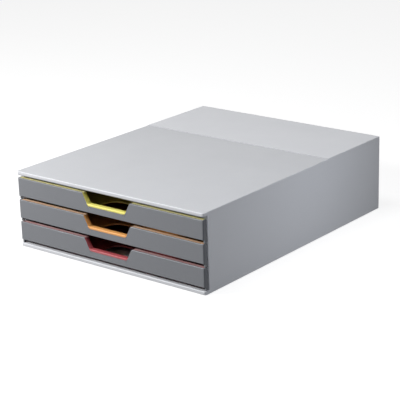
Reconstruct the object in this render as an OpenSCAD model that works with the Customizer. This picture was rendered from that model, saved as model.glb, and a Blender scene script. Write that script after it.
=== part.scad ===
// Desktop file drawer: a low casing with three pull-out drawers, one above the other.
// Frame: origin at the middle of the footprint on the desk, +Z up, drawers open towards -Y.
// All sizes are in millimetres.

/* [Casing] */
// Overall width of the casing
case_w = 280; // [260:1:330]
// Overall depth, from the front edges to the rear edges
case_d = 356; // [330:1:420]
// Thickness of each side wall
wall_t = 6; // [5.2:0.1:7.5]
// Thickness of the base plate
base_t = 3; // [2.6:0.1:4.5]
// Height of the front rail above the base plate
rail_h = 1.1; // [0.8:0.1:8]
// Depth of the front rails that stand proud of the side walls
rail_d = 7.4; // [6.4:0.1:12]
// Thickness of the top cover over the rear field
cover_t = 3; // [2.6:0.1:5]
// Drop of the top cover's front rail below its plate
cover_drop = 2.7; // [1:0.1:4]
// Depth by which the front field of the top lies below the rear field
field_step = 0.6; // [0.3:0.1:1]
// Length of the lower front field, from the front edge
field_l = 240; // [120:1:300]
// Rounding of the long top edges
edge_r = 1.4; // [0.6:0.1:1.8]
// Plan rounding of the front corners of cover and base
front_corner_r = 3; // [1:0.1:5]
// Plan rounding of the rear corners
rear_corner_r = 1.4; // [0.6:0.1:2]
// Rounding of the base's long front edges
base_edge_r = 0.7; // [0.3:0.1:1.2]
// Thickness of the back panel
back_t = 2; // [1.6:0.1:3]
// Distance of the back panel's outer face from the rear edges
back_inset = 3; // [2.4:0.1:8]
// Depth of the grooves that hold the back panel
groove_d = 1.4; // [1:0.1:1.8]

/* [Drawers] */
// Height of one drawer front
front_h = 22.6; // [22:0.1:45]
// Gap between the base's front rail and the lowest drawer front
base_gap = 4.3; // [4.2:0.05:8]
// Gap between one drawer front and the next
front_gap = 4.65; // [4.2:0.05:8]
// Gap between the uppermost drawer front and the cover's front rail
cover_gap = 3; // [0.8:0.05:8]
// Thickness of the grey front panel
panel_t = 2.4; // [1.8:0.1:3]
// Inset of each end of the front from the side of the casing
end_inset = 1; // [0.5:0.1:3]
// Thickness of the front panel's returns, which wrap the tray's front wall
return_t = 2; // [1.9:0.1:3]
// How far the returns at the ends reach below the front, to close the gap there
return_drop = 3.9; // [0.5:0.1:3.9]
// Plan rounding of the ends of each front
end_r = 1.8; // [0.5:0.1:1.8]
// Rounding of the lower edge of each front
low_edge_r = 0.8; // [0.3:0.1:0.9]
// Thickness of the coloured ledge behind the top of each front
ledge_t = 1.8; // [1.2:0.1:2.4]
// Thickness of the tray's front wall
front_wall_t = 2; // [1.4:0.1:2.4]
// Thickness of the tray's side and rear walls
tray_t = 1.6; // [1.2:0.1:2.4]
// Thickness of the tray's floor
floor_t = 1.8; // [1.2:0.1:2.4]
// Height of the tray's floor above the bottom of the front
floor_lift = 0.8; // [0.5:0.1:1.5]
// Drop of the tray's rim below the top of the front
rim_drop = 3.5; // [2.5:0.1:5]
// Thickness of the tray's rim
rim_t = 1.6; // [1.2:0.1:2.4]
// Space behind the closed tray, up to the back panel
rear_space = 5; // [3:0.5:10]
// Plan rounding of the tray's rear corners
tray_corner_r = 8; // [4:0.5:16]
// Plan rounding of the rim's front corners
rim_front_r = 2; // [0.5:0.5:4]
// How far a drawer pulls out to its stop
travel = 250; // [120:1:270]

/* [Grip] */
// Width of the grip recess at the top of the front
grip_top_w = 71; // [60:1:120]
// Width of the grip recess along its lower edge
grip_low_w = 55; // [40:1:58]
// Depth of the grip recess, from the top of the front to the grey edge below it
grip_h = 14.9; // [10:0.1:17]
// Height of the coloured lip above the grey edge of the grip recess
lip_h = 2.4; // [1.2:0.1:3]
// Rounding of the grip's lower corners
grip_low_r = 4.2; // [3:0.1:5]
// Rounding of the grip's upper corners, on the grey edge
grip_top_r = 1.6; // [0.8:0.1:3]
// Width of the finger opening in the tray's floor
finger_w = 60; // [40:1:100]
// Depth of the finger opening, front to back
finger_d = 34; // [20:1:60]
// Distance from the front wall to the finger opening
finger_y = 5; // [3:0.5:15]
// Rounding of the finger opening's rear corners
finger_r = 15; // [6:0.5:19]
// Rounding of the finger opening's front corners
finger_front_r = 4; // [1:0.5:10]

/* [Runners] */
// Width of each runner, inwards from the side wall
runner_w = 7; // [6:0.1:12]
// Thickness of each runner
runner_t = 4; // [3:0.1:5]
// Distance from the side wall's front edge to the runner
runner_front = 3; // [1:0.5:10]
// Distance from the runner's rear end to the back panel
runner_rear = 1; // [0.5:0.5:10]
// Gap between a tray's side and the inner edge of the runner
tray_gap = 1; // [0.5:0.1:2]
// Diameter of the pegs that hold the runners
peg_d = 4; // [3:0.1:4.8]
// Length of the pegs
peg_l = 3; // [2:0.1:3.2]
// Distance of the outer pegs from the runner's ends
peg_inset = 25; // [10:1:60]
// Length of the stops on the runners and trays
stop_l = 8; // [5:0.5:15]
// Height of the stops below the runners
stop_h = 3.6; // [2.5:0.1:4.5]
// Distance of the tray's stop lugs from the side walls
lug_gap = 2; // [1:0.1:3]

/* [Feet and fasteners] */
// Diameter of each foot
foot_d = 14; // [8:0.5:24]
// Height of the feet below the base plate
foot_stand = 0.8; // [0.5:0.1:3]
// Depth of the pockets that hold the feet
foot_pocket = 1.2; // [0.8:0.1:1.6]
// Distance of each foot's centre from the casing's edges
foot_inset = 24; // [16:1:60]
// Core diameter of the base screws
screw_d = 2.2; // [1.8:0.1:2.8]
// Length of the screws in the side walls
screw_l = 11; // [6:0.5:20]
// Diameter of the screw heads
screw_head_d = 4.2; // [3.8:0.1:4.6]
// Height of the screw heads
screw_head_h = 1.4; // [1:0.1:1.6]
// Distance of the outer screws from the side walls' ends
screw_inset = 22; // [10:1:80]
// Diameter of the locating studs between side walls and cover
stud_d = 3; // [2:0.1:3.6]
// Height of the locating studs
stud_h = 1.2; // [0.8:0.1:1.4]
// Distance of the outer studs from the side walls' ends
stud_inset = 40; // [10:1:80]
// Depth of the cross recess in the screw heads
recess_h = 0.8; // [0.4:0.1:0.9]
// Length of the recess's arms, from tip to tip
recess_l = 2.5; // [1.5:0.1:3.2]
// Width of the recess's arms
recess_w = 0.6; // [0.4:0.1:1]
// Space beyond the tip of each screw
tip_space = 1; // [0.5:0.5:2]
// Diameter of the clip pins between front and tray
pin_d = 3.6; // [2:0.1:5]
// Distance of the outer clip pins from the tray's sides
pin_inset = 18; // [8:1:24]
// Distance between the clip pins on each side
pin_pitch = 50; // [30:1:54]

/* [Fits] */
// Running gap between a drawer and what guides it
run_gap = 0.3; // [0.2:0.05:0.6]
// Sideways gap between a tray's rim and the side walls
side_gap = 0.6; // [0.4:0.1:1]
// Gap between a closed front and the side walls
close_gap = 0.6; // [0.4:0.1:1]
// Gap between parts that are assembled and stay put
fit_gap = 0.1; // [0.05:0.05:0.2]

/* [Hidden] */

$fn = 48;
eps = 0.01;
cut = 1;
n_drawers = 3;
BOTTOM = 0;
MIDDLE = 1;
TOP = 2;

// colours of the sub-parts
casing_grey = "#cfd2d4";
front_grey = "#86898c";
tray_colours = ["#c8485a", "#ef9a3c", "#efe04a"];
rubber_grey = "#4a4c4e";
steel = "#a9adb0";

// casing, front to back
y_front = -case_d / 2;
y_back = case_d / 2;
wall_front = y_front + rail_d;
back_out = y_back - back_inset;
back_in = back_out - back_t;

// casing, side to side
half_w = case_w / 2;
wall_in = half_w - wall_t;
wall_mid = half_w - wall_t / 2;

// casing, bottom to top
base_low = foot_stand;
base_top = base_low + base_t;
rail_top = base_top + rail_h;
pitch = front_h + front_gap;
cover_rail_low = rail_top + base_gap + n_drawers * pitch - front_gap + cover_gap;
cover_low = cover_rail_low + cover_drop;
case_h = cover_low + cover_t;

// drawer, in its own frame: y from the front face, z from the bottom of the front
front_half_w = half_w - end_inset;
ledge_half_w = front_half_w - return_t - fit_gap;
front_d = rail_d - close_gap;
front_wall_y = front_d - front_wall_t;
rim_top = front_h - rim_drop;
rim_low = rim_top - rim_t;
rim_half_w = wall_in - side_gap;
tray_half_w = wall_in - runner_w - tray_gap;
tray_rear = case_d - back_inset - back_t - rear_space;

// runner, in the drawer's frame
runner_top = rim_low - run_gap;
runner_low = runner_top - runner_t;
runner_y0 = rail_d + runner_front;
runner_y1 = case_d - back_inset - back_t - runner_rear;
runner_in = wall_in - runner_w;
peg_ys = [runner_y0 + peg_inset, (runner_y0 + runner_y1) / 2, runner_y1 - peg_inset];
peg_z = (runner_top + runner_low) / 2;

// stop lug on the tray, in the drawer's frame
lug_y = runner_y0 + stop_l + travel + run_gap;
lug_top = runner_low - run_gap;
lug_out = wall_in - lug_gap;
stop_in = runner_in + tray_gap;

// clip pins between the front panel and the tray
pin_out = tray_half_w - pin_inset;
pin_in = pin_out - pin_pitch;
pin_xs = [-pin_out, -pin_in, pin_in, pin_out];
pin_z = front_h / 2;
low_return_t = return_t / 2;

// grip recess, in the drawer's frame
grip_low = front_h - grip_h;
lip_top = grip_low + lip_h;
grip_slope = (grip_top_w - grip_low_w) / 2 / grip_h;

// places of feet and screws
foot_x = half_w - foot_inset;
foot_y = case_d / 2 - foot_inset;
screw_ys = [wall_front + screw_inset, 0, back_in - screw_inset];
stud_ys = [wall_front + stud_inset, 0, back_in - stud_inset];

function front_z(i) = rail_top + base_gap + i * pitch;

// ---------- outlines ----------

// points on a rounded corner at b, between the neighbours a and c
function corner_points(a, b, c, r, steps) =
    let (
        u = (a - b) / norm(a - b),
        v = (c - b) / norm(c - b),
        half = acos(u * v) / 2,
        centre = b + (u + v) / norm(u + v) * r / sin(half),
        from = b + u * r / tan(half) - centre,
        to = b + v * r / tan(half) - centre,
        a0 = atan2(from[1], from[0]),
        turn = atan2(from[0] * to[1] - from[1] * to[0], from * to)
    )
    [for (k = [0:steps]) centre + r * [cos(a0 + turn * k / steps), sin(a0 + turn * k / steps)]];

// closed outline through points p, each corner rounded by the radius in r
function rounded(p, r, steps = 6) =
    let (n = len(p))
    [for (i = [0:n - 1])
        each r[i] > 0
            ? corner_points(p[(i + n - 1) % n], p[i], p[(i + 1) % n], r[i], steps)
            : [p[i]]];

// rectangle with one radius for its low-y corners and one for its high-y corners
module plan(x_half, y0, y1, r0, r1) {
    difference() {
        translate([-x_half, y0])
            square([2 * x_half, y1 - y0]);
        for (s = [-1, 1]) {
            corner_cut(s * x_half, y0, -s, 1, r0);
            corner_cut(s * x_half, y1, -s, -1, r1);
        }
    }
}

// what is cut away outside the arc of a corner at x, y whose body lies towards dx, dy
module corner_cut(x, y, dx, dy, r) {
    if (r > 0)
        difference() {
            translate([x - (dx < 0 ? r : cut), y - (dy < 0 ? r : cut)])
                square(r + cut);
            translate([x + dx * r, y + dy * r])
                circle(r);
        }
}

// extrudes an X-Z outline along Y, from y0 to y1
module along_y(y0, y1) {
    translate([0, y1, 0])
        rotate([90, 0, 0])
            linear_extrude(y1 - y0)
                children();
}

// extrudes a Y-Z outline along X, over the full width given
module along_x(x_half) {
    translate([-x_half, 0, 0])
        rotate([90, 0, 90])
            linear_extrude(2 * x_half)
                children();
}

// half width of the grip recess at height z, its sloping sides moved out by grow
function grip_x(z, grow) =
    grip_low_w / 2 + (z - grip_low) * grip_slope + grow * sqrt(1 + grip_slope * grip_slope);

// space above the drawer front and in its grip recess down to low, moved out by grow
module grip_void(low, grow) {
    top = front_h + cut;
    brim = front_h - grow;
    x_low = grip_x(low, grow);
    x_brim = grip_x(brim, grow);
    x_end = front_half_w + cut;
    r_low = grip_low_r + grow;
    r_brim = max(0, grip_top_r - grow);
    polygon(rounded(
        [[-x_end, top], [-x_end, brim], [-x_brim, brim], [-x_low, low],
         [x_low, low], [x_brim, brim], [x_end, brim], [x_end, top]],
        [0, 0, r_brim, r_low, r_low, r_brim, 0, 0]));
}

// ---------- casing ----------

module top_cover() {
    color(casing_grey)
    difference() {
        union() {
            cover_slab(y_front, y_front + field_l + eps, case_h - field_step, edge_r, 0);
            cover_slab(y_front + field_l, y_back, case_h, 0, edge_r);
            intersection() {
                translate([-half_w, y_front, cover_rail_low])
                    cube([case_w, rail_d, cover_drop + eps]);
                cover_plan(cover_rail_low, case_h);
            }
        }
        for (s = [-1, 1], y = stud_ys)
            translate([s * wall_mid, y, cover_low - cut])
                cylinder(d = stud_d + 2 * fit_gap, h = stud_h + fit_gap + cut);
        translate([-wall_in - groove_d, back_in - fit_gap, cover_low - cut])
            cube([2 * (wall_in + groove_d), back_t + 2 * fit_gap, groove_d + cut]);
    }
}

module cover_plan(z0, z1) {
    translate([0, 0, z0])
        linear_extrude(z1 - z0)
            plan(half_w, y_front, y_back, front_corner_r, rear_corner_r);
}

// one level of the cover, with its outer top edges rounded
module cover_slab(y0, y1, top, r_front, r_rear) {
    intersection() {
        cover_plan(cover_low, top);
        along_y(y0, y1)
            difference() {
                translate([-half_w, cover_low])
                    square([case_w, top - cover_low]);
                corner_cut(-half_w, top, 1, -1, edge_r);
                corner_cut(half_w, top, -1, -1, edge_r);
            }
        along_x(half_w)
            difference() {
                translate([y0, cover_low])
                    square([y1 - y0, top - cover_low]);
                corner_cut(y0, top, 1, -1, r_front);
                corner_cut(y1, top, -1, -1, r_rear);
            }
    }
}

module base_tray() {
    color(casing_grey)
    difference() {
        intersection() {
            union() {
                translate([-half_w, y_front, base_low])
                    cube([case_w, case_d, base_t]);
                translate([-half_w, y_front, base_low])
                    cube([case_w, rail_d, base_t + rail_h]);
            }
            translate([0, 0, base_low])
                linear_extrude(base_t + rail_h)
                    plan(half_w, y_front, y_back, front_corner_r, rear_corner_r);
            along_x(half_w)
                difference() {
                    translate([y_front, base_low])
                        square([case_d, base_t + rail_h]);
                    corner_cut(y_front, rail_top, 1, -1, base_edge_r);
                    corner_cut(y_front, base_low, 1, 1, base_edge_r);
                }
        }
        for (x = [-foot_x, foot_x], y = [-foot_y, foot_y])
            translate([x, y, base_low - cut])
                cylinder(d = foot_d + 2 * fit_gap, h = foot_pocket + cut);
        for (s = [-1, 1], y = screw_ys)
            translate([s * wall_mid, y, base_low - cut]) {
                cylinder(d = screw_d + 4 * fit_gap, h = base_t + 2 * cut);
                cylinder(d = screw_head_d + 2 * fit_gap, h = screw_head_h + fit_gap + cut);
            }
        translate([-wall_in - groove_d, back_in - fit_gap, base_top - groove_d])
            cube([2 * (wall_in + groove_d), back_t + 2 * fit_gap, groove_d + cut]);
    }
}

// the right wall; the left one is its mirror image
module side_wall() {
    difference() {
        union() {
            translate([0, 0, base_top])
                linear_extrude(cover_low - base_top)
                    difference() {
                        translate([wall_in, wall_front])
                            square([wall_t, y_back - wall_front]);
                        corner_cut(half_w, y_back, -1, -1, rear_corner_r);
                    }
            for (y = stud_ys)
                translate([wall_mid, y, cover_low - eps])
                    cylinder(d = stud_d, h = stud_h + eps);
        }
        for (y = screw_ys)
            translate([wall_mid, y, base_top - cut])
                cylinder(d = screw_d, h = screw_l + cut);
        for (i = [0:n_drawers - 1], y = peg_ys)
            translate([wall_in - cut, y_front + y, front_z(i) + peg_z])
                rotate([0, 90, 0])
                    cylinder(d = peg_d + 2 * fit_gap, h = peg_l + fit_gap + cut);
        translate([wall_in - cut, back_in - fit_gap, base_top - cut])
            cube([groove_d + fit_gap + cut, back_t + 2 * fit_gap, case_h]);
    }
}

module left_side_wall() {
    color(casing_grey)
        mirror([1, 0, 0])
            side_wall();
}

module right_side_wall() {
    color(casing_grey)
        side_wall();
}

module back_panel() {
    half = wall_in + groove_d;
    low = base_top - groove_d + fit_gap;
    high = cover_low + groove_d - fit_gap;
    color(casing_grey)
        translate([-half, back_in, low])
            cube([2 * half, back_t, high - low]);
}

// ---------- runners ----------

// the right runner of drawer i, with its pegs and the stop at its front end
module runner(i) {
    translate([0, y_front, front_z(i)]) {
        translate([runner_in, runner_y0, runner_low])
            cube([runner_w, runner_y1 - runner_y0, runner_t]);
        translate([stop_in, runner_y0, runner_low - stop_h])
            cube([wall_in - stop_in, stop_l, stop_h + eps]);
        for (y = peg_ys)
            translate([wall_in - eps, y, peg_z])
                rotate([0, 90, 0])
                    cylinder(d = peg_d, h = peg_l + eps);
    }
}

module right_runner(i) {
    color(casing_grey)
        runner(i);
}

module left_runner(i) {
    color(casing_grey)
        mirror([1, 0, 0])
            runner(i);
}

// ---------- drawers ----------

// coloured tray of drawer i: front wall with ledge and lip, bin, rim and stop lugs
module tray(i) {
    color(tray_colours[i])
    translate([0, y_front, front_z(i)])
    difference() {
        union() {
            coloured_ledge();
            coloured_lip();
            tray_front_wall();
            tray_bin();
            for (s = [-1, 1])
                stop_lug(s);
        }
        finger_opening();
        for (x = pin_xs)
            translate([x, front_wall_y - cut, pin_z])
                rotate([-90, 0, 0])
                    cylinder(d = pin_d + 2 * fit_gap, h = front_wall_t + 2 * cut);
    }
}

// ledge behind the front panel's top edge that dips down and lines the grip recess
module coloured_ledge() {
    along_y(panel_t, front_d)
        intersection() {
            difference() {
                grip_void(lip_top - ledge_t, ledge_t);
                grip_void(lip_top, 0);
            }
            translate([-ledge_half_w, 0])
                square([2 * ledge_half_w, front_h]);
        }
}

// lip that covers the front panel's edge along the bottom of the grip recess
module coloured_lip() {
    along_y(0, panel_t + eps)
        difference() {
            grip_void(grip_low, 0);
            grip_void(lip_top, 0);
        }
}

module tray_front_wall() {
    along_y(front_wall_y, front_d)
        difference() {
            translate([-ledge_half_w, floor_lift])
                square([2 * ledge_half_w, front_h - floor_lift]);
            grip_void(lip_top, 0);
        }
}

module tray_bin() {
    difference() {
        union() {
            translate([0, 0, floor_lift])
                linear_extrude(rim_top - floor_lift)
                    plan(tray_half_w, front_d - eps, tray_rear, 0, tray_corner_r);
            translate([0, 0, rim_low])
                linear_extrude(rim_t)
                    plan(rim_half_w, rail_d + run_gap, tray_rear, rim_front_r, tray_corner_r);
        }
        translate([0, 0, floor_lift + floor_t])
            linear_extrude(front_h)
                plan(tray_half_w - tray_t, front_d - 2 * eps, tray_rear - tray_t, 0, tray_corner_r - tray_t);
    }
}

// lug on the side s of the tray that meets the runner's stop at full travel
module stop_lug(s) {
    x_in = tray_half_w - tray_t / 2;
    translate([s > 0 ? x_in : -lug_out, lug_y, lug_top - stop_h])
        cube([lug_out - x_in, stop_l, stop_h]);
}

module finger_opening() {
    y0 = front_d + finger_y;
    y1 = y0 + finger_d;
    hw = finger_w / 2;
    translate([0, 0, floor_lift - cut])
        linear_extrude(floor_t + 2 * cut)
            polygon(rounded([[-hw, y0], [hw, y0], [hw, y1], [-hw, y1]],
                            [finger_front_r, finger_front_r, finger_r, finger_r]));
}

// grey panel of drawer i: face, returns that wrap the tray, lower edge and clip pins
module front_panel(i) {
    color(front_grey)
    translate([0, y_front, front_z(i)]) {
        difference() {
            intersection() {
                union() {
                    translate([-front_half_w, 0, 0])
                        cube([2 * front_half_w, panel_t, front_h]);
                    translate([-front_half_w, 0, 0])
                        cube([2 * front_half_w, front_wall_y, low_return_t]);
                    for (s = [-1, 1])
                        translate([s > 0 ? front_half_w - return_t : -front_half_w, 0, 0])
                            cube([return_t, front_d, front_h]);
                }
                linear_extrude(front_h)
                    plan(front_half_w, 0, front_d, end_r, 0);
                along_x(front_half_w)
                    difference() {
                        square([front_d, front_h]);
                        corner_cut(0, 0, 1, 1, low_edge_r);
                    }
            }
            along_y(-cut, panel_t + cut)
                grip_void(grip_low, 0);
        }
        for (s = [-1, 1])
            translate([s > 0 ? front_half_w - return_t : -front_half_w, panel_t, -return_drop])
                cube([return_t, front_d - panel_t, return_drop + eps]);
        for (x = pin_xs)
            translate([x, panel_t - eps, pin_z])
                rotate([-90, 0, 0])
                    cylinder(d = pin_d, h = front_d - panel_t + eps);
    }
}

// ---------- feet and fasteners ----------

module foot(x, y) {
    color(rubber_grey)
        translate([x, y, 0])
            cylinder(d = foot_d, h = foot_stand + foot_pocket);
}

module screw() {
    difference() {
        union() {
            cylinder(d = screw_head_d, h = screw_head_h);
            cylinder(d = screw_d, h = base_t + screw_l - tip_space);
        }
        for (a = [0, 90])
            rotate([0, 0, a])
                translate([-recess_l / 2, -recess_w / 2, -cut])
                    cube([recess_l, recess_w, cut + recess_h]);
    }
}

module base_screws() {
    color(steel)
        for (s = [-1, 1], y = screw_ys)
            translate([s * wall_mid, y, base_low + fit_gap])
                screw();
}

top_cover();
base_tray();
left_side_wall();
right_side_wall();
back_panel();
left_runner(BOTTOM);  // left_runner_bottom
left_runner(MIDDLE);  // left_runner_middle
left_runner(TOP);  // left_runner_top
right_runner(BOTTOM);  // right_runner_bottom
right_runner(MIDDLE);  // right_runner_middle
right_runner(TOP);  // right_runner_top
tray(BOTTOM);  // bottom_drawer_tray
tray(MIDDLE);  // middle_drawer_tray
tray(TOP);  // top_drawer_tray
front_panel(BOTTOM);  // bottom_drawer_front
front_panel(MIDDLE);  // middle_drawer_front
front_panel(TOP);  // top_drawer_front
foot(-foot_x, -foot_y);  // foot_front_left
foot(foot_x, -foot_y);  // foot_front_right
foot(-foot_x, foot_y);  // foot_rear_left
foot(foot_x, foot_y);  // foot_rear_right
base_screws();
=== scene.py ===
"""Looks of the desktop file drawer: finished meshes, plastics, a plain studio and the camera.

Lengths are in metres. The drawer fronts face -Y, and +X is to the right of them.
"""
import math

import bmesh
import bpy
from mathutils import Matrix, Vector


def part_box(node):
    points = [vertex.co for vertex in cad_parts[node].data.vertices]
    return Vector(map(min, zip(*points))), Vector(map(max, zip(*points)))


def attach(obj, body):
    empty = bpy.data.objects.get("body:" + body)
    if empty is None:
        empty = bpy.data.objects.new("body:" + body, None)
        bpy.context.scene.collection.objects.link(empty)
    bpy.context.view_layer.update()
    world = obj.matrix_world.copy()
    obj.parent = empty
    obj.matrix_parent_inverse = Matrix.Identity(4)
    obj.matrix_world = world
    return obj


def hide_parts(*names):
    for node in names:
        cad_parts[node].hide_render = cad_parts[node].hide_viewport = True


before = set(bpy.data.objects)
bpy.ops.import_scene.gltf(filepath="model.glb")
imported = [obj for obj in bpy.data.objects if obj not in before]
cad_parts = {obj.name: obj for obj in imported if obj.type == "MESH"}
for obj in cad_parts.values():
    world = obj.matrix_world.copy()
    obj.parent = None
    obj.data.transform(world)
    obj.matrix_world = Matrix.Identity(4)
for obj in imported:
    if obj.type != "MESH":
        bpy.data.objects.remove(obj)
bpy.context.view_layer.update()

MM = 0.001

# ---------- camera: angles in degrees, distance and target in metres ----------
CAM_AZIMUTH = 38.785
CAM_ELEVATION = 18.352
CAM_ROLL = -1.61
CAM_DISTANCE = 1.7425
CAM_TARGET = Vector((-0.0071, 0.0, 0.0334))
FOCAL_PX = 1419.6
IMAGE_PX = 400
SENSOR_MM = 36.0

# ---------- studio ----------
NEUTRAL = (1.0, 1.0, 1.0)
COOL = (0.904, 0.938, 1.0)
LAMPS = {   # name: (place, target, size, watts, spread in degrees, colour)
    "key": ((-0.75, -0.93, 0.68), (0.0, -0.05, 0.05), (0.35, 0.16), 18.2, 180, NEUTRAL),
    "overhead": ((-0.15, -0.45, 1.65), (0.0, 0.0, 0.05), (0.6, 0.5), 9.1, 180, NEUTRAL),
    "side": ((0.60, 0.035, 0.135), (0.14, 0.035, 0.084), (0.10, 0.06), 0.071, 60, COOL),
    "right": ((0.78, -0.44, 0.66), (0.0, -0.17, 0.06), (0.2, 0.15), 2.85, 180, COOL),
}
WORLD_COLOUR = (0.97, 0.98, 1.0)
WORLD_LIGHT = 0.06
FLOOR_LIT = 0.12     # the floor's grey as it lights the object
FLOOR_SEEN = 0.30    # its grey as the camera sees it, which keeps the shadow
FLOOR_GLOW = 0.84    # what is added to it there, up to white
FLOOR_HALF = 8.0

# ---------- finish ----------
WELD = 0.002 * MM
FLAT_ANGLE = math.radians(0.6)
SHARP_ANGLE = math.radians(30)
ROUND_STEPS = 3
ARC_STEPS = 6
WALL_RADIUS = 0.3 * MM
CASING_RADIUS = 0.25 * MM
FOOT_RADIUS = 0.4 * MM
SCREW_RADIUS = 0.1 * MM
COVER_RADIUS = 0.12 * MM
EDGE_MARK = "edge_mark"
# the mark and the light grey of a painted highlight on the coloured ledge tops
LEDGE_HIGHLIGHT_MARK = "ledge_highlight_mark"
LEDGE_HIGHLIGHT = (0.75, 0.73, 0.70)

# ---------- top cover ----------
COVER_LOW, COVER_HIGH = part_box("top_cover")
PLATE_LOW = COVER_HIGH.z - 3.0 * MM
RAIL_REAR = COVER_LOW.y + 7.4 * MM
STEP_Y = COVER_LOW.y + 240 * MM
STEP_DROP = 0.6 * MM
STEP_RUN = 0.3 * MM
RIM_R = 0.8 * MM
CORNER_FRONT_R = 3.0 * MM
CORNER_REAR_R = 1.7 * MM
RAIL_EDGE_R = 1.8 * MM

# ---------- drawers: depth from the front plane, height from the low edge of the grey panel ----------
SKIRT_DROP = 3.9 * MM       # the skirts at a front's ends reach this far below its panel
END_CORNER_R = 1.79 * MM
END_X = 137.5 * MM
END_OUTSIDE_X = 138.9 * MM
RECESS_HALF = 38 * MM
RECESS_LOW = 0.5 * MM
RECESS_HIGH = 20.5 * MM
LIP_HALF = 35 * MM
LIP_LOW = 8.0 * MM
LIP_DEPTH = 7.2 * MM
LINING_LOW = 7 * MM
LEDGE_LOW = 21 * MM
LEDGE_DEPTH = 7 * MM
BIN_DEPTH = 7.5 * MM
BIN_FLOOR_HIGH = 4.5 * MM
INSIDE_DEPTH = 8 * MM


def add_camera():
    """The camera, turned round the object by azimuth, elevation and roll."""
    a, e, r = (math.radians(v) for v in (CAM_AZIMUTH, CAM_ELEVATION, CAM_ROLL))
    back = Vector((math.sin(a) * math.cos(e), -math.cos(a) * math.cos(e), math.sin(e)))
    level_right = Vector((math.cos(a), math.sin(a), 0))
    level_up = back.cross(level_right)
    right = level_right * math.cos(r) + level_up * math.sin(r)
    up = level_up * math.cos(r) - level_right * math.sin(r)
    data = bpy.data.cameras.new("camera")
    data.sensor_width = SENSOR_MM
    data.lens = SENSOR_MM * FOCAL_PX / IMAGE_PX
    data.clip_start, data.clip_end = 0.05, 50
    camera = bpy.data.objects.new("camera", data)
    turn = Matrix((right, up, back)).transposed().to_4x4()
    camera.matrix_world = Matrix.Translation(CAM_TARGET + back * CAM_DISTANCE) @ turn
    bpy.context.scene.collection.objects.link(camera)
    bpy.context.scene.camera = camera


# ---------- material nodes ----------

class Net:
    """A material's node tree, with a short call to add a node and link its inputs."""

    def __init__(self, name):
        self.material = bpy.data.materials.new(name)
        self.material.use_nodes = True
        self.tree = self.material.node_tree
        self.tree.nodes.clear()

    def add(self, kind, inputs=None, **settings):
        node = self.tree.nodes.new("ShaderNode" + kind)
        for key, value in settings.items():
            setattr(node, key, value)
        for key, value in (inputs or {}).items():
            if isinstance(value, bpy.types.NodeSocket):
                self.tree.links.new(value, node.inputs[key])
            else:
                node.inputs[key].default_value = value
        return node

    def coords(self, stretch=(1, 1, 1)):
        place = self.add("TexCoord").outputs["Object"]
        return self.add("Mapping", {"Vector": place, "Scale": stretch}).outputs["Vector"]

    def noise(self, coords, scale, detail=2.0, roughness=0.5):
        """Noise from 0 to 1, with scale in waves per metre."""
        inputs = {"Vector": coords, "Scale": scale, "Detail": detail, "Roughness": roughness}
        return self.add("TexNoise", inputs).outputs["Fac"]

    def spread(self, value, low, high, to_low, to_high):
        """Maps value from low..high to to_low..to_high, clamped."""
        inputs = {"Value": value, "From Min": low, "From Max": high, "To Min": to_low, "To Max": to_high}
        return self.add("MapRange", inputs).outputs["Result"]

    def math(self, operation, a, b=0.0):
        return self.add("Math", {0: a, 1: b}, operation=operation).outputs[0]

    def mix(self, factor, a, b):
        node = self.add("Mix", {"Factor": factor, 6: a, 7: b}, data_type="RGBA")
        return node.outputs[2]

    def finish(self, **inputs):
        """Adds the shader with these inputs, and the output."""
        named = {key.replace("_", " "): value for key, value in inputs.items()}
        shader = self.add("BsdfPrincipled", named)
        self.add("OutputMaterial", {"Surface": shader.outputs["BSDF"]})
        return self.material


def shade(colour, factor):
    return tuple(min(1.0, c * factor) for c in colour) + (1.0,)


def edge_wear_and_highlight(net, coords):
    """1 on the rounded edges, patchy along their length, else 0; plastic lightens them both as rubbing
    wear and as painted highlight.
    """
    edge = net.add("Attribute", attribute_name=EDGE_MARK).outputs["Fac"]
    patches = net.spread(net.noise(coords, 55.0), 0.35, 0.65, 0.35, 1.0)
    return net.math("MULTIPLY", edge, patches)


def plastic(name, colour, roughness=0.45, grain=0.12, wear_and_highlight=1.10, drift=0.03):
    """Moulded plastic: slow colour drift, faint mottling, spark-eroded grain, rounded edges lightened
    partly as wear and partly as painted highlight, and painted highlight on marked ledge tops.
    """
    net = Net(name)
    coords = net.coords()
    body = net.mix(net.noise(coords, 9.0), shade(colour, 1 - drift), shade(colour, 1 + drift))
    mottle = net.spread(net.noise(coords, 420.0, detail=4.0, roughness=0.6), 0.3, 0.7, 0.0, 0.12)
    body = net.mix(mottle, body, shade(colour, 0.86))
    # painted highlight: the marked ledge tops are paled in patches towards a light grey
    highlit = net.add("Attribute", attribute_name=LEDGE_HIGHLIGHT_MARK).outputs["Fac"]
    highlight_patches = net.spread(net.noise(coords, 90.0, detail=3.0), 0.3, 0.7, 0.28, 0.44)
    body = net.mix(net.math("MULTIPLY", highlit, highlight_patches), body, LEDGE_HIGHLIGHT + (1.0,))
    rub = edge_wear_and_highlight(net, coords)
    # the rounded edges are lightened, partly as rubbing wear and partly as painted highlight
    body = net.mix(rub, body, shade(colour, wear_and_highlight))
    smear = net.spread(net.noise(coords, 28.0, detail=5.0, roughness=0.65), 0.3, 0.7, -0.05, 0.05)
    polish = net.math("MULTIPLY", rub, -0.08)
    gloss = net.math("ADD", net.math("ADD", smear, polish), roughness)
    cells = net.add("TexVoronoi", {"Vector": coords, "Scale": 2100.0}, feature="SMOOTH_F1")
    relief = net.math("ADD", cells.outputs["Distance"], net.noise(coords, 900.0, detail=3.0))
    bump = net.add("Bump", {"Height": relief, "Strength": grain, "Distance": 0.05 * MM})
    return net.finish(Base_Color=body, Roughness=gloss, Normal=bump.outputs["Normal"], IOR=1.5)


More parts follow.
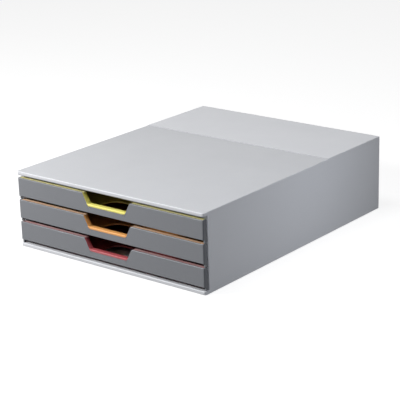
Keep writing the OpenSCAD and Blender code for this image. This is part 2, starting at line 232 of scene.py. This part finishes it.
def rubber(name, colour):
    """Soft rubber: matt, with pale dust in its pores."""
    net = Net(name)
    coords = net.coords()
    dust = net.spread(net.noise(coords, 300.0, detail=5.0, roughness=0.7), 0.5, 0.75, 0.0, 0.5)
    body = net.mix(dust, shade(colour, 1), shade(colour, 2.6))
    gloss = net.spread(net.noise(coords, 40.0), 0.3, 0.7, 0.72, 0.88)
    pores = net.noise(coords, 1400.0, detail=4.0)
    bump = net.add("Bump", {"Height": pores, "Strength": 0.3, "Distance": 0.08 * MM})
    return net.finish(Base_Color=body, Roughness=gloss, Normal=bump.outputs["Normal"], IOR=1.5)


def zinc(name, colour):
    """Zinc-plated steel: cloudy plating with fine turning marks and brighter edges."""
    net = Net(name)
    coords = net.coords((1, 1, 6))
    cloud = net.noise(coords, 160.0, detail=4.0)
    body = net.mix(net.spread(cloud, 0.3, 0.7, 0.0, 1.0), shade(colour, 0.88), shade(colour, 1.08))
    body = net.mix(edge_wear_and_highlight(net, coords), body, shade(colour, 1.3))
    gloss = net.spread(net.noise(coords, 700.0, detail=3.0), 0.3, 0.7, 0.24, 0.42)
    marks = net.noise(coords, 2600.0, detail=2.0)
    bump = net.add("Bump", {"Height": marks, "Strength": 0.2, "Distance": 0.02 * MM})
    return net.finish(Base_Color=body, Metallic=1.0, Roughness=gloss, Normal=bump.outputs["Normal"])


# ---------- pieces ----------

def sharp_edges(bm, radius_at):
    """Weights the sharp edges by radius_at(middle, edge), and returns the largest radius."""
    weight = bm.edges.layers.float.new("bevel_weight_edge")
    bm.normal_update()
    widest = 0.0
    for edge in bm.edges:
        if len(edge.link_faces) == 2 and edge.calc_face_angle(0) > SHARP_ANGLE:
            edge[weight] = radius_at((edge.verts[0].co + edge.verts[1].co) / 2, edge)
            widest = max(widest, edge[weight])
    for edge in bm.edges:
        edge[weight] /= widest
    return widest


def mark_faces(mesh, name, value_at):
    """Gives each face the value that its materials read under name."""
    mark = mesh.attributes.new(name, "FLOAT", "FACE")
    mark.data.foreach_set("value", [float(value_at(polygon)) for polygon in mesh.polygons])


def rounded_mesh(name, bm, radius_at):
    """The mesh of bm with its sharp edges rounded, and the rounded faces marked."""
    widest = sharp_edges(bm, radius_at)
    rough = bpy.data.meshes.new(name + "_rough")
    bm.to_mesh(rough)
    bm.free()
    for slot in range(2):
        rough.materials.append(None)
    carrier = bpy.data.objects.new(name + "_rough", rough)
    bpy.context.scene.collection.objects.link(carrier)
    bevel = carrier.modifiers.new("edges", "BEVEL")
    bevel.width = widest
    bevel.segments = ROUND_STEPS
    bevel.limit_method = "WEIGHT"
    bevel.use_clamp_overlap = False
    bevel.material = 1
    evaluated = carrier.evaluated_get(bpy.context.evaluated_depsgraph_get())
    mesh = bpy.data.meshes.new_from_object(evaluated)
    mesh.name = name
    mark_faces(mesh, EDGE_MARK, lambda polygon: polygon.material_index)
    mesh.materials.clear()
    bpy.data.objects.remove(carrier)
    bpy.data.meshes.remove(rough)
    return mesh


def new_piece(mesh, materials, body, node, slot_at=None):
    """Links a mesh as a piece that rides on body and stands for a CAD node.

    slot_at(polygon) gives a face's material number.
    """
    for material in materials:
        mesh.materials.append(material)
    for polygon in mesh.polygons:
        polygon.use_smooth = True
        polygon.material_index = slot_at(polygon) if slot_at else 0
    piece = bpy.data.objects.new(mesh.name, mesh)
    bpy.context.scene.collection.objects.link(piece)
    even = piece.modifiers.new("shading", "WEIGHTED_NORMAL")
    even.weight = 80
    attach(piece, body)
    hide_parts(node)
    return piece


def finished_copy(node, materials, body, radius_at, slot_at=None, highlight_at=None):
    """A copy of a CAD node with its flat faces joined and its sharp edges rounded.

    highlight_at(polygon) gives how far a face is paled as painted highlight, from 0 to 1.
    """
    bm = bmesh.new()
    bm.from_mesh(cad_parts[node].data)
    bmesh.ops.remove_doubles(bm, verts=bm.verts, dist=WELD)
    bmesh.ops.dissolve_limit(bm, angle_limit=FLAT_ANGLE, verts=bm.verts, edges=bm.edges)
    mesh = rounded_mesh(node + "_shell", bm, radius_at)
    if highlight_at:
        mark_faces(mesh, LEDGE_HIGHLIGHT_MARK, highlight_at)
    return new_piece(mesh, materials, body, node, slot_at)


# ---------- top cover ----------

def cover_ring(inset, height):
    """Points round the cover's outline, moved in by inset; height(y) gives their z.

    They run anticlockwise from the front left corner, with three points on each side:
    one at the front rail's rear, two where the rear field steps up.
    """
    x1, y0, y1 = COVER_HIGH.x - inset, COVER_LOW.y + inset, COVER_HIGH.y - inset
    front_r, rear_r = CORNER_FRONT_R - inset, CORNER_REAR_R - inset
    corners = [(-x1 + front_r, y0 + front_r, front_r, 180), (x1 - front_r, y0 + front_r, front_r, 270),
               (x1 - rear_r, y1 - rear_r, rear_r, 0), (-x1 + rear_r, y1 - rear_r, rear_r, 90)]
    arcs = []
    for x, y, r, start in corners:
        angles = [math.radians(start + 90 * k / ARC_STEPS) for k in range(ARC_STEPS + 1)]
        arcs.append([(x + r * math.cos(a), y + r * math.sin(a)) for a in angles])
    side = [RAIL_REAR, STEP_Y - STEP_RUN / 2, STEP_Y + STEP_RUN / 2]
    right = [(x1, y) for y in side]
    left = [(-x1, y) for y in reversed(side)]
    outline = arcs[0] + arcs[1] + right + arcs[2] + arcs[3] + left
    return [Vector((x, y, height(y))) for x, y in outline]


def field_height(y):
    return COVER_HIGH.z - (STEP_DROP if y < STEP_Y else 0.0)


def build_cover(materials):
    """The cover: plate with a rim rounded all the way round, two fields, and the front rail."""
    n_arc = ARC_STEPS + 1
    right = 2 * n_arc
    left = right + 3 + 2 * n_arc
    count = left + 3
    front = [left + 2] + list(range(right + 1))
    bm = bmesh.new()

    def ring(inset, height):
        return [bm.verts.new(p) for p in cover_ring(inset, height)]

    plate = [ring(0, lambda y: PLATE_LOW)]
    for k in range(ARC_STEPS + 1):
        angle = math.radians(90 * k / ARC_STEPS)
        inset, drop = RIM_R * (1 - math.cos(angle)), RIM_R * (1 - math.sin(angle))
        plate.append(ring(inset, lambda y, drop=drop: field_height(y) - drop))
    for low, high in zip(plate, plate[1:]):
        for i in range(count):
            j = (i + 1) % count
            bm.faces.new((low[i], low[j], high[j], high[i]))
    top = plate[-1]
    bm.faces.new([top[i] for i in front[1:] + [right + 1, left + 1, left + 2]])
    bm.faces.new((top[right + 1], top[right + 2], top[left], top[left + 1]))
    bm.faces.new([top[i] for i in range(right + 2, left + 1)])
    bm.faces.new([plate[0][i] for i in reversed(range(right, left + 3))])

    rail = []
    for k in range(ROUND_STEPS + 1):
        angle = math.radians(90 * k / ROUND_STEPS)
        inset, rise = RAIL_EDGE_R * (1 - math.sin(angle)), RAIL_EDGE_R * (1 - math.cos(angle))
        points = cover_ring(inset, lambda y, rise=rise: COVER_LOW.z + rise)
        rail.append([bm.verts.new(points[i]) for i in front])
    rail.append([plate[0][i] for i in front])
    for low, high in zip(rail, rail[1:]):
        for i in range(len(front) - 1):
            bm.faces.new((low[i], low[i + 1], high[i + 1], high[i]))
    bm.faces.new(list(reversed(rail[0])))
    bm.faces.new([r[-1] for r in rail] + [r[0] for r in reversed(rail)])

    bmesh.ops.recalc_face_normals(bm, faces=bm.faces)
    mesh = rounded_mesh("top_cover_shell", bm, lambda middle, edge: COVER_RADIUS)
    return new_piece(mesh, materials, "casing", "top_cover", field_shade_face)


def field_shade_face(polygon):
    """1 for the front field of the top, painted darker as shade, 2 for the step behind it, painted darker
    still as a shade line, else 0.
    """
    level = COVER_HIGH.z - STEP_DROP
    if abs(polygon.center.y - STEP_Y) < STEP_RUN and polygon.center.z > level - 0.05 * MM:
        return 2
    return 1 if polygon.normal.z > 0.99 and abs(polygon.center.z - level) < 0.05 * MM else 0


# ---------- drawers ----------

def tray_radius(front):
    """Edge radii of a tray: fillets round the floor, a soft lip, crisp edges elsewhere."""
    def radius(middle, edge):
        depth, height = middle.y - front.y, middle.z - front.z
        if not edge.is_convex:
            return 0.8 * MM if height < BIN_FLOOR_HIGH and depth > BIN_DEPTH else 0.15 * MM
        if abs(middle.x) < LIP_HALF and depth < LIP_DEPTH and height > LIP_LOW:
            return 0.45 * MM
        return 0.25 * MM
    return radius


def front_radius(front):
    """Edge radii of a grey front: a soft top edge, and tight edges round the recess."""
    def radius(middle, edge):
        depth, height = middle.y - front.y, middle.z - front.z
        if not edge.is_convex:
            return 0.15 * MM
        if abs(middle.x) < RECESS_HALF and RECESS_LOW < height < RECESS_HIGH:
            return 0.1 * MM
        outer = depth < END_CORNER_R or abs(middle.x) > END_OUTSIDE_X
        return 0.5 * MM if outer and height > RECESS_HIGH else 0.2 * MM
    return radius


def painted_ledge_highlight(front):
    """1 for the top of the coloured ledge, paled towards grey as painted highlight, else 0."""
    def pale(polygon):
        depth, height = polygon.center.y - front.y, polygon.center.z - front.z
        return polygon.normal.z > 0.3 and depth < LEDGE_DEPTH and height > LEDGE_LOW
    return pale


def inside_shade_face(front):
    """1 for the faces inside a tray, which are matt and painted darker than its lining as shade, else 0.
    """
    return lambda polygon: 1 if polygon.center.y - front.y > INSIDE_DEPTH else 0


def front_face(front):
    """Material of a front's faces: 1 at its ends, painted near-black as shade, 2 on the recess edges that
    the lining covers.
    """
    def material_number(polygon):
        side, height = abs(polygon.center.x), polygon.center.z - front.z
        if side > END_X:
            return 1 if abs(polygon.normal.x) > 0.6 else 0
        slanted = abs(polygon.normal.x) > 0.3 and abs(polygon.normal.y) < 0.3
        return 2 if slanted and side < RECESS_HALF and height > LINING_LOW else 0
    return material_number


def build_drawer(level, slot, colour, inside_shade_colour):
    """One drawer's grey front and coloured tray."""
    lining = plastic(slot, colour, roughness=0.4)
    # painted shade: a darkened copy of the tray colour on the faces inside the tray
    inside = plastic(slot + "_inside_painted_shade", inside_shade_colour, roughness=0.55)
    body = level + "_drawer"
    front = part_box(body + "_front")[0]
    front = Vector((0, front.y, front.z + SKIRT_DROP))
    finished_copy(body + "_front", [FRONT, FRONT_END_SHADE, lining], body,
                  front_radius(front), front_face(front))
    finished_copy(body + "_tray", [lining, inside], body,
                  tray_radius(front), inside_shade_face(front), painted_ledge_highlight(front))


# ---------- rest of the casing ----------

def wall_radius(middle, edge):
    """Edge radii of a side wall, which stays sharp where the cover sits on it."""
    return 0.0 if middle.z > PLATE_LOW - 0.1 * MM else WALL_RADIUS


def build_casing():
    """Side walls, base tray, back panel, runners, feet and screws."""
    for node in ("left_side_wall", "right_side_wall"):
        finished_copy(node, [CASING], "casing", wall_radius)
    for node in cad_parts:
        if node in ("base_tray", "back_panel") or "runner" in node:
            finished_copy(node, [CASING], "casing", lambda middle, edge: CASING_RADIUS)
        if node.startswith("foot"):
            finished_copy(node, [RUBBER], "casing", lambda middle, edge: FOOT_RADIUS)
        if node == "base_screws":
            finished_copy(node, [STEEL], "casing", lambda middle, edge: SCREW_RADIUS)


# ---------- studio ----------

def area_lamp(name, place, target, size, power, spread, colour):
    """A soft box at place, turned to target, with its light kept within spread degrees."""
    data = bpy.data.lights.new(name, "AREA")
    data.shape = "RECTANGLE"
    data.size, data.size_y = size
    data.energy = power
    data.spread = math.radians(spread)
    data.color = colour
    lamp = bpy.data.objects.new(name, data)
    lamp.location = place
    lamp.rotation_mode = "QUATERNION"
    lamp.rotation_quaternion = (Vector(target) - Vector(place)).to_track_quat("-Z", "Y")
    lamp.visible_camera = False
    bpy.context.scene.collection.objects.link(lamp)


def white_where_seen(tree, lit, white):
    """Shows white to the rays that see the stage itself, and leaves the light it gives alone."""
    path = tree.nodes.new("ShaderNodeLightPath")
    seen = path.outputs["Is Camera Ray"]
    for ray in ("Is Glossy Ray", "Is Transmission Ray"):
        either = tree.nodes.new("ShaderNodeMath")
        either.operation = "MAXIMUM"
        tree.links.new(seen, either.inputs[0])
        tree.links.new(path.outputs[ray], either.inputs[1])
        seen = either.outputs[0]
    mix = tree.nodes.new("ShaderNodeMixShader")
    tree.links.new(seen, mix.inputs["Fac"])
    tree.links.new(lit, mix.inputs[1])
    tree.links.new(white, mix.inputs[2])
    return mix.outputs[0]


def grey(value):
    return (value, value, value, 1)


def add_floor():
    h = FLOOR_HALF
    mesh = bpy.data.meshes.new("floor")
    mesh.from_pydata([(-h, -h, 0), (h, -h, 0), (h, h, 0), (-h, h, 0)], [], [(0, 1, 2, 3)])
    floor = bpy.data.objects.new("floor", mesh)
    bpy.context.scene.collection.objects.link(floor)
    net = Net("floor")
    plain = net.add("BsdfDiffuse", {"Color": grey(FLOOR_LIT)})
    pale = net.add("BsdfDiffuse", {"Color": grey(FLOOR_SEEN)})
    glow = net.add("Emission", {"Color": grey(1), "Strength": FLOOR_GLOW})
    white = net.add("AddShader", {0: pale.outputs[0], 1: glow.outputs[0]})
    net.add("OutputMaterial", {"Surface": white_where_seen(net.tree, plain.outputs[0], white.outputs[0])})
    mesh.materials.append(net.material)


def add_world():
    world = bpy.data.worlds.new("studio")
    world.use_nodes = True
    tree = world.node_tree
    tree.nodes.clear()
    lit = tree.nodes.new("ShaderNodeBackground")
    lit.inputs["Color"].default_value = WORLD_COLOUR + (1,)
    lit.inputs["Strength"].default_value = WORLD_LIGHT
    white = tree.nodes.new("ShaderNodeBackground")
    white.inputs["Color"].default_value = grey(1)
    out = tree.nodes.new("ShaderNodeOutputWorld")
    tree.links.new(white_where_seen(tree, lit.outputs[0], white.outputs[0]), out.inputs["Surface"])
    bpy.context.scene.world = world


# ---------- scene ----------

bpy.context.scene.view_settings.view_transform = "Standard"
add_camera()
add_floor()
add_world()
for name, (place, target, size, power, spread, colour) in LAMPS.items():
    area_lamp(name, place, target, size, power, spread, colour)

CASING = plastic("casing_plastic", (0.612, 0.620, 0.645), roughness=0.42)
# painted shade: the casing plastic darkened on the top's front field
FIELD_SHADE = plastic("casing_field_painted_shade", (0.502, 0.510, 0.530), roughness=0.48, grain=0.16)
# painted shade: the casing plastic darkened further on the step between the fields, as a shade line
STEP_SHADE = plastic("casing_step_painted_shade", (0.36, 0.366, 0.384), roughness=0.6)
# the fronts' rounded edges are lightened more, as painted highlight on the panel's top edge
FRONT = plastic("front_plastic", (0.164, 0.170, 0.184), roughness=0.42, wear_and_highlight=1.35)
# painted shade: the front plastic darkened on the fronts' end faces, standing in for the shade of the
# slot beside the side wall
FRONT_END_SHADE = plastic("front_end_painted_shade", (0.058, 0.063, 0.074), roughness=0.5)
TRAYS = {   # level: (slot, colour of lining and ledge, colour inside, darkened as painted shade)
    "top": ("tray_yellow", (0.81, 0.73, 0.18), (0.50, 0.44, 0.09)),
    "middle": ("tray_orange", (0.76, 0.36, 0.11), (0.46, 0.19, 0.05)),
    "bottom": ("tray_red", (0.40, 0.075, 0.085), (0.25, 0.042, 0.048)),
}
RUBBER = rubber("foot_rubber", (0.07, 0.07, 0.075))
STEEL = zinc("screw_steel", (0.62, 0.63, 0.64))

build_cover([CASING, FIELD_SHADE, STEP_SHADE])
for level, (slot, colour, inside_shade_colour) in TRAYS.items():
    build_drawer(level, slot, colour, inside_shade_colour)
build_casing()
